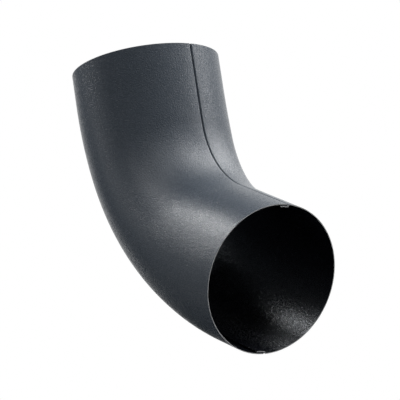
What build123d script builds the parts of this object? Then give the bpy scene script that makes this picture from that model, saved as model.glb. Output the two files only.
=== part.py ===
from build123d import *
import os
from math import asin, atan, cos, degrees, isclose, radians, sin, sqrt, tan

# Round downpipe elbow, made of two pressed half shells of coated sheet steel.
# The halves hook together in a flat lock seam along the throat, which is the inside of the bend,
# and in another along the back, which is the outside of it.
# The upper end's rim is at the origin, with Z up along its axis, and the bend turns towards +X.
# The left half is on the -Y side and the right half on the +Y side.

# Driving sizes, in millimetres and degrees
upper_diameter = 100.0      # outside of the upper end
mouth_diameter = 99.0       # outside of the lower end, a little less so that it slips into a pipe
bend_angle = 60.0           # between the two axes
leg_length = 118.0          # from each rim to the corner where the two axes meet
end_length = 22.0           # straight round stretch at each rim
throat_radius = 62.0        # of the inside of the bend, between its two straight stretches
sheet = 0.5                 # thickness of the steel
seam_lap = 4.4              # how far the two hooks of a seam lie over each other
layer_gap = 0.02            # taken up by the paint between two layers of a seam
hook_gap = 0.2              # from a hook's cut edge to the bend that it points into
step_gap = 0.65             # from the start of a hem's bend to the foot of the step beside it
step_slope = 60.0           # steepness of the step that leads down under the hem
step_radius = 0.5           # inside of the step's two small bends
bend_sections = 25          # cross-sections that shape the bend

# A seam has four layers, evenly about the middle plane: the left half's wall on the outside,
# then the right half's hook, the left half's hem and the right half's flange.
layer = sheet + layer_gap
fold_radius = sheet * 1.5 + layer_gap
fold_hollow = fold_radius - sheet
lap_end = seam_lap / 2
flange_depth = 3 * layer

# The step from the right half's wall down to its flange: a bend, a slope and a bend back
step_foot = lap_end + step_gap
step_outer_radius = step_radius + sheet
step_bends = step_radius + step_outer_radius
slope_drop = flange_depth - step_bends * (1 - cos(radians(step_slope)))
step_top = step_foot + step_bends * sin(radians(step_slope)) + slope_drop / tan(radians(step_slope))

# The back is one arc from end to end, so the section planes of the bend all pass through its
# centre, the pivot. Its reach is its distance from either axis.
upper_radius = upper_diameter / 2
mouth_radius = mouth_diameter / 2
pivot_reach = (leg_length - end_length) / tan(radians(bend_angle / 2))
pivot = Vector(pivot_reach, 0, -end_length)


def throat_reach(turn):
    """Distance from the pivot to the throat, in the section plane at this turn.
    The throat is two straight lines, one for each leg, joined by an arc that touches both."""
    opening = radians(bend_angle)
    from_upper = radians(turn)
    from_mouth = radians(bend_angle - turn)
    upper_line = pivot_reach - upper_radius
    mouth_line = pivot_reach - mouth_radius
    # The arc's centre, in steps square to each line, as seen from the pivot
    upper_part = upper_line - throat_radius - cos(opening) * (mouth_line - throat_radius)
    mouth_part = mouth_line - throat_radius - cos(opening) * (upper_line - throat_radius)
    upper_part /= sin(opening) ** 2
    mouth_part /= sin(opening) ** 2
    if from_upper <= atan(mouth_part * sin(opening) / upper_line):
        return upper_line / cos(from_upper)
    if from_mouth <= atan(upper_part * sin(opening) / mouth_line):
        return mouth_line / cos(from_mouth)
    ahead = upper_part * cos(from_upper) + mouth_part * cos(from_mouth)
    aside = upper_part * sin(from_upper) - mouth_part * sin(from_mouth)
    return ahead + sqrt(throat_radius ** 2 - aside ** 2)


class Section:
    """A cross-section of the elbow: an ellipse from the back to the throat, or a circle at an end.
    In its own plane, X runs towards the throat and Y to the right half."""

    def __init__(self, turn):
        self.beside = upper_radius + (mouth_radius - upper_radius) * turn / bend_angle
        back = pivot_reach + self.beside
        throat = throat_reach(turn)
        self.across = (back - throat) / 2
        towards_pivot = Vector(cos(radians(turn)), 0, sin(radians(turn)))
        upstream = Vector(-sin(radians(turn)), 0, cos(radians(turn)))
        centre = pivot - towards_pivot * ((back + throat) / 2)
        self.plane = Plane(centre, x_dir=towards_pivot, z_dir=upstream)

    def point(self, seam, depth, side):
        """A point in a seam, this deep under the outside and this far right of the middle plane.
        The seam is 1 at the throat and -1 at the back."""
        along = (self.across - depth) * sqrt(1 - (side / (self.beside - depth)) ** 2)
        return Vector(seam * along, side)

    def strip(self, seam, depth, first, last):
        """The flat face of a layer, from one side to another, bowed as the pipe is."""
        sides = (first, (first + last) / 2, last)
        return ThreePointArc(*(self.point(seam, depth, side) for side in sides))

    def cut_edge(self, seam, depth, side):
        """The square cut edge of a layer whose outer face is this deep."""
        return Line(self.point(seam, depth, side), self.point(seam, depth + sheet, side))

    def bend(self, seam, depth, side, radius, first, last):
        """A bend about a centre, between two angles that count from the right to deeper."""
        angles = [radians(angle) for angle in (first, (first + last) / 2, last)]
        return ThreePointArc(
            *(self.point(seam, depth + radius * sin(a), side + radius * cos(a)) for a in angles)
        )

    def fold(self, seam, depth, side, first):
        """A layer folded back on itself: both faces of the sheet, each as two quarter turns."""
        return [
            self.bend(seam, depth, side, radius, start, start + 90)
            for radius in (fold_radius, fold_hollow)
            for start in (first, first + 90)
        ]

    def wall(self, depth, side, towards_right):
        """The long round face of one half, whose two ends are this far right of the middle."""
        lean = degrees(asin(side / (self.beside - depth)))
        first, last = (lean, 180 - lean) if towards_right else (180 - lean, 360 + lean)
        across, beside = self.across - depth, self.beside - depth
        if isclose(across, beside):
            return Edge.make_circle(beside, start_angle=first, end_angle=last)
        return Edge.make_ellipse(across, beside, start_angle=first, end_angle=last)


def left_profile(section):
    """The left half's wall, whose edges are folded back under themselves as hems."""
    edges = [section.wall(0, lap_end, False), section.wall(sheet, lap_end, False)]
    hem_depth = 2 * layer
    hem_edge = hook_gap - lap_end
    for seam in (1, -1):
        edges += [
            *section.fold(seam, fold_radius, lap_end, -90),
            section.strip(seam, hem_depth, lap_end, hem_edge),
            section.strip(seam, hem_depth + sheet, lap_end, hem_edge),
            section.cut_edge(seam, hem_depth, hem_edge),
        ]
    return section.plane * Face(Wire(edges))


def right_profile(section):
    """The right half's wall, whose edges step down to a flange and turn back as hooks."""
    edges = [section.wall(0, step_top, True), section.wall(sheet, step_top, True)]
    hook_edge = lap_end - hook_gap
    foot_centre = flange_depth - step_radius
    for seam in (1, -1):
        # The step and the flange below it, first on the outer face of the sheet, then on the inner
        for top_radius, depth in ((step_outer_radius, flange_depth), (step_radius, flange_depth + sheet)):
            foot_radius = step_bends - top_radius
            top_bend = section.bend(seam, step_outer_radius, step_top, top_radius, -90, -90 - step_slope)
            foot_bend = section.bend(seam, foot_centre, step_foot, foot_radius, 90 - step_slope, 90)
            edges += [
                top_bend,
                Line(top_bend @ 1, foot_bend @ 0),
                foot_bend,
                section.strip(seam, depth, step_foot, -lap_end),
            ]
        edges += [
            *section.fold(seam, layer + fold_radius, -lap_end, 90),
            section.strip(seam, layer, -lap_end, hook_edge),
            section.strip(seam, layer + sheet, -lap_end, hook_edge),
            section.cut_edge(seam, layer, hook_edge),
        ]
    return section.plane * Face(Wire(edges))


def half_shell(profile):
    """One half: its profile carried round the bend, and on along the two round ends."""
    turns = [bend_angle * step / (bend_sections - 1) for step in range(bend_sections)]
    faces = [profile(Section(turn)) for turn in turns]
    upper_end = extrude(faces[0], end_length)
    mouth_end = extrude(faces[-1], -end_length)
    return upper_end + loft(faces) + mouth_end


os.makedirs("parts", exist_ok=True)
export_step(half_shell(left_profile), "parts/left_half_shell.step")
export_step(half_shell(right_profile), "parts/right_half_shell.step")
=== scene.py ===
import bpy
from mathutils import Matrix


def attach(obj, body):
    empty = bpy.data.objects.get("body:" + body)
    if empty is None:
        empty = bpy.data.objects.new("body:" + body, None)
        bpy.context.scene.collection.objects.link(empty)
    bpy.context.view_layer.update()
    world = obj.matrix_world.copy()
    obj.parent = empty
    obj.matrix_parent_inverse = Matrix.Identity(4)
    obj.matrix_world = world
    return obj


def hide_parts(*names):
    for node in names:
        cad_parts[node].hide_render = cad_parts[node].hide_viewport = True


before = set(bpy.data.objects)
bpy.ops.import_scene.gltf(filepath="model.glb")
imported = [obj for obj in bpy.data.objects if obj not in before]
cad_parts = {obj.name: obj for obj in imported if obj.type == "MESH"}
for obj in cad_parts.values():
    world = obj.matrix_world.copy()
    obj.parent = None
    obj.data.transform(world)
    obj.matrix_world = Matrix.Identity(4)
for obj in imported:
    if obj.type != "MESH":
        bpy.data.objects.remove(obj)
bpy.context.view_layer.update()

from math import asin, cos, pi, radians, sin, sqrt, tan

import bpy
from mathutils import Matrix, Vector

# Round downpipe elbow, pressed from coated sheet steel in two halves that hook together in flat
# lock seams. Metres, with the upper rim's centre at the origin and the bend turning towards +X.

# Sizes of the elbow
MM = 0.001
UPPER_RADIUS = 50.0 * MM
MOUTH_RADIUS = 49.5 * MM
BEND_ANGLE = radians(60)
LEG_LENGTH = 118.0 * MM
END_LENGTH = 22.0 * MM
THROAT_RADIUS = 62.0 * MM

# Sizes of the sheet and its seams
SHEET = 0.5 * MM
LAYER = SHEET + 0.02 * MM
FOLD_RADIUS = LAYER + SHEET / 2
FOLD_HOLLOW = FOLD_RADIUS - SHEET
LAP_END = 2.2 * MM
HOOK_GAP = 0.2 * MM
STEP_FOOT = LAP_END + 0.65 * MM
STEP_SLOPE = radians(60)
STEP_RADIUS = 0.5 * MM

# How finely the pressed halves are drawn
WALL_POINTS = 84
STRIP_POINTS = 3
FLANGE_POINTS = 6
FOLD_POINTS = 12
STEP_POINTS = 8
STATIONS = 120
SAME_PLACE = 0.001 * MM
SHARP_CORNER = radians(35)


# Flat profiles, drawn on the round upper end. X runs towards the throat and Y to the right half.

def at(depth, side):
    """A point by the throat seam, this deep under the outside and this far to the right."""
    return Vector((sqrt((UPPER_RADIUS - depth) ** 2 - side ** 2), side))


def strip(depth, first, last, points=STRIP_POINTS):
    """A layer's face from one side to another, bowed as the pipe is."""
    return [at(depth, first + (last - first) * step / points) for step in range(points + 1)]


def bend(depth, side, radius, first, last, points=FOLD_POINTS):
    """A bend about a centre in the seam. Its angles count from the right towards deeper."""
    angles = [first + (last - first) * step / points for step in range(points + 1)]
    return [at(depth + radius * sin(angle), side + radius * cos(angle)) for angle in angles]


def wall(depth, side, way):
    """The long round face of a half, from the throat to the back. Way is 1 by the right side."""
    reach = UPPER_RADIUS - depth
    lean = asin(side / reach)
    last = pi - lean if way > 0 else -pi - lean
    angles = [lean + (last - lean) * step / WALL_POINTS for step in range(WALL_POINTS + 1)]
    return [Vector((cos(angle), sin(angle))) * reach for angle in angles]


def hem():
    """The left half's hem at the throat, as its outer and inner face from the wall to the cut."""
    cut = HOOK_GAP - LAP_END
    return [
        bend(FOLD_RADIUS, LAP_END, fold, -pi / 2, pi / 2) + strip(depth, LAP_END, cut)
        for fold, depth in ((FOLD_RADIUS, 2 * LAYER + SHEET), (FOLD_HOLLOW, 2 * LAYER))
    ]


def step_and_hook():
    """The right half's step, flange and hook at the throat, and the side where its wall ends."""
    flange = 3 * LAYER
    bends = STEP_RADIUS * 2 + SHEET
    drop = flange - bends * (1 - cos(STEP_SLOPE))
    top = STEP_FOOT + bends * sin(STEP_SLOPE) + drop / tan(STEP_SLOPE)
    faces = [
        bend(STEP_RADIUS + SHEET, top, top_radius, -pi / 2, -pi / 2 - STEP_SLOPE, STEP_POINTS)
        + bend(
            flange - STEP_RADIUS, STEP_FOOT, bends - top_radius,
            pi / 2 - STEP_SLOPE, pi / 2, STEP_POINTS,
        )
        + strip(depth, STEP_FOOT, -LAP_END, FLANGE_POINTS)
        + bend(LAYER + FOLD_RADIUS, -LAP_END, fold, pi / 2, 3 * pi / 2)
        + strip(hook, -LAP_END, LAP_END - HOOK_GAP)
        for top_radius, depth, fold, hook in (
            (STEP_RADIUS + SHEET, flange, FOLD_HOLLOW, LAYER + SHEET),
            (STEP_RADIUS, flange + SHEET, FOLD_RADIUS, LAYER),
        )
    ]
    return faces, top


def folded_in(point):
    """Whether a point of a profile is in one of the two middle layers of a seam."""
    depth = UPPER_RADIUS - point.length
    half_gap = (LAYER - SHEET) / 2
    between = LAYER - half_gap < depth < 3 * LAYER - half_gap
    return between and abs(point.y) < LAP_END + FOLD_RADIUS


def profile_mesh(name, seam_faces, side, way):
    """One half's closed profile. Each point says whether it is on the inner face of the sheet, and
    whether it is folded in between two other layers."""
    points, inner = [], []
    for face, depth in enumerate((0.0, SHEET)):
        seam = seam_faces[face]
        run = seam[::-1] + wall(depth, side, way) + [Vector((-p.x, p.y)) for p in seam]
        run = [p for k, p in enumerate(run) if k == 0 or (p - run[k - 1]).length > SAME_PLACE]
        points += run if face == 0 else run[::-1]
        inner += [float(face)] * len(run)
    if way < 0:
        # Both halves' profiles run the same way round, so that the faces of both look outwards
        points.reverse()
        inner.reverse()
    mesh = bpy.data.meshes.new(name)
    count = len(points)
    edges = [(k, (k + 1) % count) for k in range(count)]
    mesh.from_pydata([(p.x, p.y, 0) for p in points], edges, [])
    folded = [float(folded_in(p)) for p in points]
    for attribute, values in (("inner face", inner), ("folded in", folded)):
        mesh.attributes.new(attribute, "FLOAT", "POINT").data.foreach_set("value", values)
    return mesh


# Trees of nodes, for the pressing rule and the finishes

class Amount:
    """A number inside a tree of nodes, so that sums can be written as sums."""

    def __init__(self, tree, socket):
        self.tree, self.socket = tree, socket

    def work(self, operation, *others, clamp=False):
        node = self.tree.nodes.new("ShaderNodeMath")
        node.operation = operation
        node.use_clamp = clamp
        for slot, value in enumerate((self, *others)):
            if isinstance(value, Amount):
                self.tree.links.new(value.socket, node.inputs[slot])
            else:
                node.inputs[slot].default_value = value
        return Amount(self.tree, node.outputs[0])

    def __add__(self, other):
        return self.work("ADD", other)

    def __sub__(self, other):
        return self.work("SUBTRACT", other)

    def __mul__(self, other):
        return self.work("MULTIPLY", other)

    def __truediv__(self, other):
        return self.work("DIVIDE", other)

    def __neg__(self):
        return self.work("MULTIPLY", -1.0)

    def sine(self):
        return self.work("SINE")

    def cosine(self):
        return self.work("COSINE")

    def no_less_than(self, other):
        return self.work("MAXIMUM", other)

    def or_else(self, other, where):
        """This amount, but the other one where that is 1."""
        return self + (other - self) * where


def node_adder(tree):
    """A helper that adds a node to the tree, with its settings and what goes into it."""

    def add(kind, inputs=(), **settings):
        node = tree.nodes.new(kind)
        for key, value in settings.items():
            setattr(node, key, value)
        for slot, value in dict(inputs).items():
            if isinstance(value, Amount):
                value = value.socket
            if isinstance(value, bpy.types.NodeSocket):
                tree.links.new(value, node.inputs[slot])
            else:
                node.inputs[slot].default_value = value
        return node

    return add


# The pressing rule

PRESSED_SIZES = {
    "Upper radius": UPPER_RADIUS,
    "Mouth radius": MOUTH_RADIUS,
    "Leg length": LEG_LENGTH,
    "End length": END_LENGTH,
    "Throat radius": THROAT_RADIUS,
    "Bend angle": BEND_ANGLE,
}


def pressing_tree(coat, backing, bare_edge):
    """Carries a flat profile along a straight rail, then bends it as the elbow is pressed."""
    tree = bpy.data.node_groups.new("pressed elbow half", "GeometryNodeTree")
    tree.interface.new_socket("Geometry", in_out="INPUT", socket_type="NodeSocketGeometry")
    for name in PRESSED_SIZES:
        tree.interface.new_socket(name, in_out="INPUT", socket_type="NodeSocketFloat")
    tree.interface.new_socket("Stations", in_out="INPUT", socket_type="NodeSocketInt")
    tree.interface.new_socket("Geometry", in_out="OUTPUT", socket_type="NodeSocketGeometry")
    add = node_adder(tree)
    given = add("NodeGroupInput").outputs
    upper, mouth, leg, end, throat_curve, opening = (
        Amount(tree, given[name]) for name in PRESSED_SIZES
    )

    # The back is one arc about the pivot, which is this far from either axis
    reach = (leg - end) / (opening / 2.0).work("TANGENT")
    bend_run = reach * opening
    whole_run = bend_run + end * 2.0

    # Straight rail and the profile carried along it
    rail_end = add("ShaderNodeCombineXYZ", {"Z": whole_run}).outputs[0]
    rail = add("GeometryNodeCurvePrimitiveLine", {"End": rail_end}).outputs[0]
    rail = add("GeometryNodeResampleCurve", {"Curve": rail, "Count": given["Stations"]}).outputs[0]
    outline = add("GeometryNodeMeshToCurve", {"Mesh": given["Geometry"]}).outputs[0]
    along_rail = {"Curve": rail, "Profile Curve": outline, "Fill Caps": True}
    swept = add("GeometryNodeCurveToMesh", along_rail).outputs[0]

    place = add("GeometryNodeInputPosition").outputs[0]
    place = add("ShaderNodeSeparateXYZ", {0: place}).outputs
    flat_x, flat_y, along = (Amount(tree, place[axis]) for axis in range(3))

    # How far round the bend a point is, and how far beyond it on a straight end
    share = ((along - end) / bend_run).work("ADD", 0.0, clamp=True)
    turn = share * opening
    to_mouth = opening - turn
    beyond = (end - along).no_less_than(0.0) - (along - end - bend_run).no_less_than(0.0)

    # Distance from the pivot to the throat: two straight lines joined by an arc
    upper_line = reach - upper
    mouth_line = reach - mouth
    corner = opening.cosine()
    square = opening.sine() * opening.sine()
    upper_part = (upper_line - throat_curve - corner * (mouth_line - throat_curve)) / square
    mouth_part = (mouth_line - throat_curve - corner * (upper_line - throat_curve)) / square
    ahead = upper_part * turn.cosine() + mouth_part * to_mouth.cosine()
    aside = upper_part * turn.sine() - mouth_part * to_mouth.sine()
    arc = ahead + (throat_curve * throat_curve - aside * aside).no_less_than(0.0).work("SQRT")
    upper_last = (mouth_part * opening.sine() / upper_line).work("ARCTANGENT")
    mouth_last = (upper_part * opening.sine() / mouth_line).work("ARCTANGENT")
    throat = arc.or_else(upper_line / turn.cosine(), turn.work("LESS_THAN", upper_last))
    throat = throat.or_else(mouth_line / to_mouth.cosine(), to_mouth.work("LESS_THAN", mouth_last))

    # The cross-section there, narrower from back to throat than from side to side
    beside = upper + (mouth - upper) * share
    back = reach + beside
    across = (back - throat) / 2.0
    centre = (back + throat) / 2.0
    round_by = (flat_x * flat_x + flat_y * flat_y).work("SQRT")
    local_x = flat_x - (upper - across) * (flat_x / round_by)
    local_y = flat_y - (upper - beside) * (flat_y / round_by)
    outwards = local_x - centre
    pressed = add("ShaderNodeCombineXYZ", {
        "X": reach + outwards * turn.cosine() - beyond * turn.sine(),
        "Y": local_y,
        "Z": -end + outwards * turn.sine() + beyond * turn.cosine(),
    }).outputs[0]
    shape = add("GeometryNodeSetPosition", {"Geometry": swept, "Position": pressed}).outputs[0]
    shape = add("GeometryNodeFlipFaces", {"Mesh": shape}).outputs[0]
    shape = add("GeometryNodeRealizeInstances", {"Geometry": shape}).outputs[0]

    # Coat outside, thin backing coat inside, bare steel where the sheet was cut. A cut face lies
    # between the outer face, at 0, and the inner face, at 1.
    inner = add("GeometryNodeInputNamedAttribute", {"Name": "inner face"}, data_type="FLOAT")
    inner = Amount(tree, inner.outputs[0])
    on_cut = inner.work("GREATER_THAN", 0.05) * inner.work("LESS_THAN", 0.95)
    on_back = inner.work("GREATER_THAN", 0.95)
    shape = add("GeometryNodeSetMaterial", {"Geometry": shape, "Material": coat}).outputs[0]
    for material, where in ((backing, on_back), (bare_edge, on_cut)):
        finish = {"Geometry": shape, "Selection": where, "Material": material}
        shape = add("GeometryNodeSetMaterial", finish).outputs[0]
    add("NodeGroupOutput", {"Geometry": shape})
    return tree


def pressed_half(name, node_name, tree, profile):
    """One half of the elbow as a plain mesh, made by the pressing rule from its flat profile."""
    blank = bpy.data.objects.new(name, profile)
    bpy.context.scene.collection.objects.link(blank)
    press = blank.modifiers.new("press", "NODES")
    press.node_group = tree
    sizes = {**PRESSED_SIZES, "Stations": STATIONS}
    for item in tree.interface.items_tree:
        if item.name in sizes:
            press[item.identifier] = sizes[item.name]
    evaluated = blank.evaluated_get(bpy.context.evaluated_depsgraph_get())
    pressed = bpy.data.meshes.new_from_object(evaluated)
    blank.modifiers.remove(press)
    pressed.name = name
    pressed.set_sharp_from_angle(angle=SHARP_CORNER)
    blank.data = pressed
    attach(blank, "root")
    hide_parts(node_name)


# Finishes. Grains and streaks are counted per metre.

OUTSIDE_GRAINS = 1250.0
BACKING_GRAINS = 2300.0
SHEAR_STREAKS = 2600.0


def new_finish(name):
    """A new material with its tree, its shader and a helper that adds nodes."""
    material = bpy.data.materials.new(name)
    material.use_nodes = True
    tree = material.node_tree
    return material, tree, tree.nodes["Principled BSDF"], node_adder(tree)


def mixed_colour(add, share, first, second):
    """A colour that goes from the first to the second with the share."""
    mix = add("ShaderNodeMix", {"Factor": share}, data_type="RGBA")
    mix.inputs["A"].default_value = (*first, 1)
    mix.inputs["B"].default_value = (*second, 1)
    return mix.outputs["Result"]


def grained_coat(name, dark, light, grains, grain_height, glossiest, dullest, sheen):
    """Matt coat baked on to gutter steel. It dries in fine raised grains, each a little lighter or
    darker and glossier or duller than the next. Glossiest and dullest are their roughness, and
    sheen is the colour of what they reflect."""
    material, tree, shader, add = new_finish(name)
    place = add("ShaderNodeTexCoord").outputs["Object"]
    cells = add("ShaderNodeTexVoronoi", {"Vector": place, "Scale": grains}).outputs["Color"]
    chance = add("ShaderNodeSeparateXYZ", {0: cells}).outputs
    tree.links.new(mixed_colour(add, chance[0], dark, light), shader.inputs["Base Color"])
    dullness = {"Value": chance[1], "To Min": glossiest, "To Max": dullest}
    tree.links.new(add("ShaderNodeMapRange", dullness).outputs[0], shader.inputs["Roughness"])
    shader.inputs["Specular IOR Level"].default_value = 0.25
    shader.inputs["Specular Tint"].default_value = (*sheen, 1)
    ripples = {"Vector": place, "Scale": 0.95 * grains, "Detail": 2.0, "Roughness": 0.6}
    raised = add("ShaderNodeTexNoise", ripples).outputs[0]
    bump = add("ShaderNodeBump", {"Height": raised, "Strength": 1.0, "Distance": grain_height})
    tree.links.new(bump.outputs[0], shader.inputs["Normal"])
    return material


def sheared_edge():
    """Bare zinc and steel of a cut edge, streaked across the sheet by the shears. The cut ends of
    the layers that are folded in between two others are painted dark: painted shade, standing in
    for the shadow in the narrow gaps between the layers."""
    material, tree, shader, add = new_finish("sheared steel edge")
    place = add("ShaderNodeTexCoord").outputs["Object"]
    scratches = {"Vector": place, "Scale": SHEAR_STREAKS, "Detail": 2.0}
    streaks = add("ShaderNodeTexNoise", scratches).outputs[0]
    metal = mixed_colour(add, streaks, (0.28, 0.285, 0.29), (0.42, 0.425, 0.43))
    # Painted shade: the cut ends of the two middle layers of a seam are made dark, standing in for
    # the shadow in the gaps between the layers
    folded = add("ShaderNodeAttribute", attribute_name="folded in").outputs["Fac"]
    layer_gap_shade = add("ShaderNodeMix", {"Factor": folded, "A": metal}, data_type="RGBA")
    layer_gap_shade.inputs["B"].default_value = (0.04, 0.042, 0.048, 1)
    tree.links.new(layer_gap_shade.outputs["Result"], shader.inputs["Base Color"])
    shader.inputs["Metallic"].default_value = 0.8
    shader.inputs["Roughness"].default_value = 0.5
    bump = add("ShaderNodeBump", {"Height": streaks, "Strength": 0.3, "Distance": 0.05 * MM})
    tree.links.new(bump.outputs[0], shader.inputs["Normal"])
    return material


outside_coat = grained_coat(
    "grained anthracite coat", (0.051, 0.062, 0.076), (0.063, 0.076, 0.094),
    OUTSIDE_GRAINS, 0.26 * MM, 0.22, 0.34, (1.0, 1.0, 1.0),
)
backing_coat = grained_coat(
    "grained backing coat", (0.005, 0.006, 0.009), (0.007, 0.008, 0.012),
    BACKING_GRAINS, 0.09 * MM, 0.18, 0.36, (0.80, 0.90, 1.0),
)
pressing = pressing_tree(outside_coat, backing_coat, sheared_edge())
left_profile = profile_mesh("left profile", hem(), LAP_END, -1)
pressed_half("left_pressed_half", "left_half_shell", pressing, left_profile)
right_seam, right_wall_end = step_and_hook()
right_profile = profile_mesh("right profile", right_seam, right_wall_end, 1)
pressed_half("right_pressed_half", "right_half_shell", pressing, right_profile)


# Floor, light and camera

ELBOW_MIDDLE = Vector((0.05, 0, -0.105))
LAMP_DISTANCE = 1.6
FLOOR_REACH = 2.5
FLOOR_HEIGHT = -2.25

# Lamps, each with its degrees round from +X, its degrees up, its side and its brightness
LAMPS = (
    ("high lamp on the right", 61, 57, 0.60, 9.5),
    ("lamp on the right", 58, 25, 0.60, 9.8),
    ("right lamp behind", 86, 40, 0.60, 7.8),
    ("high lamp in front, right", 26, 58, 0.34, 26.3),
    ("lamp in front, right", 10, 40, 0.34, 11.9),
    ("low lamp in front, right", 30, 10, 0.34, 9.9),
    ("lamp over the camera", 324, 55, 0.70, 4.5),
    ("lamp on the left", 262, 50, 0.50, 7.3),
    ("wide lamp on the left", 231, 11, 0.70, 0.9),
    ("low wide lamp on the left", 230, -20, 0.70, 3.0),
    ("left lamp behind", 198, 50, 0.30, 17.3),
    ("middle left lamp behind", 196, 55, 0.28, 24.2),
    ("high left lamp behind", 200, 57, 0.22, 18.6),
    ("low left lamp behind", 203, 36, 0.34, 16.1),
    ("low lamp on the rims", 44, -34, 0.34, 6.5),
)


def way_to(azimuth, elevation):
    """The direction that is this many degrees round from +X and this many up."""
    turned, raised = radians(azimuth), radians(elevation)
    return Vector((cos(raised) * cos(turned), cos(raised) * sin(turned), sin(raised)))


def plain_floor():
    """Pale floor well below the hung elbow."""
    corners = [(x, y, FLOOR_HEIGHT) for x, y in ((-1, -1), (1, -1), (1, 1), (-1, 1))]
    corners = [(x * FLOOR_REACH, y * FLOOR_REACH, z) for x, y, z in corners]
    mesh = bpy.data.meshes.new("floor")
    mesh.from_pydata(corners, [], [(0, 1, 2, 3)])
    floor = bpy.data.objects.new("floor", mesh)
    bpy.context.scene.collection.objects.link(floor)
    material, _, shader, _ = new_finish("pale floor")
    shader.inputs["Base Color"].default_value = (0.88, 0.88, 0.88, 1)
    shader.inputs["Roughness"].default_value = 0.9
    mesh.materials.append(material)


def softbox(name, azimuth, elevation, side, brightness):
    """Square soft lamp aimed at the elbow, from a direction as seen from it."""
    way = way_to(azimuth, elevation)
    lamp = bpy.data.lights.new(name, "AREA")
    lamp.size = side
    lamp.energy = brightness * pi * side ** 2
    stand = bpy.data.objects.new(name, lamp)
    stand.location = ELBOW_MIDDLE + way * LAMP_DISTANCE
    stand.rotation_euler = way.to_track_quat("Z", "Y").to_euler()
    bpy.context.scene.collection.objects.link(stand)


def white_backdrop():
    """White all round where the camera looks past the elbow. Reflections show it as the curved
    backdrop that stands behind the elbow, from a little above the horizon up, with a dark room in
    front of it."""
    world = bpy.data.worlds.new("white backdrop")
    bpy.context.scene.world = world
    world.use_nodes = True
    world.cycles.sampling_method = "NONE"
    tree = world.node_tree
    add = node_adder(tree)

    def fade(value, first, last):
        limits = {"Value": value, "From Min": first, "From Max": last}
        return add("ShaderNodeMapRange", limits, interpolation_type="SMOOTHSTEP").outputs[0]

    def combined(operation, first, second):
        return add("ShaderNodeMath", {0: first, 1: second}, operation=operation).outputs[0]

    # The backdrop's two fading edges, as the cosine of an angle from its middle and as a height
    direction = add("ShaderNodeTexCoord").outputs["Generated"]
    facing = {0: direction, 1: way_to(130, 10)}
    towards = add("ShaderNodeVectorMath", facing, operation="DOT_PRODUCT").outputs["Value"]
    height = add("ShaderNodeSeparateXYZ", {0: direction}).outputs["Z"]
    backdrop = combined("MULTIPLY", fade(towards, 0.64, 0.80), fade(height, 0.02, 0.14))

    path = add("ShaderNodeLightPath").outputs
    mirrored = combined("MAXIMUM", path["Is Glossy Ray"], path["Is Transmission Ray"])
    mirrored = combined("MULTIPLY", mirrored, backdrop)
    seen = combined("MAXIMUM", path["Is Camera Ray"], mirrored)
    background = tree.nodes["Background"]
    background.inputs["Color"].default_value = (1, 1, 1, 1)
    tree.links.new(seen, background.inputs["Strength"])


def camera():
    """Camera where the photograph was taken from, below the elbow and slightly tilted. It looks
    through a long lens, for a film 36 mm wide."""
    forward = Vector((-0.77973, 0.57621, 0.24496)).normalized()
    up = Vector((0.2842, -0.0229, 0.95849))
    right = forward.cross(up).normalized()
    up = right.cross(forward)
    place = Matrix((right, up, -forward)).transposed().to_4x4()
    place.translation = Vector((1.5996, -1.1535, -0.5958))
    lens = bpy.data.cameras.new("camera")
    lens.lens = 273.46
    lens.sensor_width = 36.0
    seat = bpy.data.objects.new("camera", lens)
    seat.matrix_world = place
    bpy.context.scene.collection.objects.link(seat)
    bpy.context.scene.camera = seat


plain_floor()
for lamp in LAMPS:
    softbox(*lamp)
white_backdrop()
camera()

bpy.context.scene.view_settings.view_transform = "Standard"
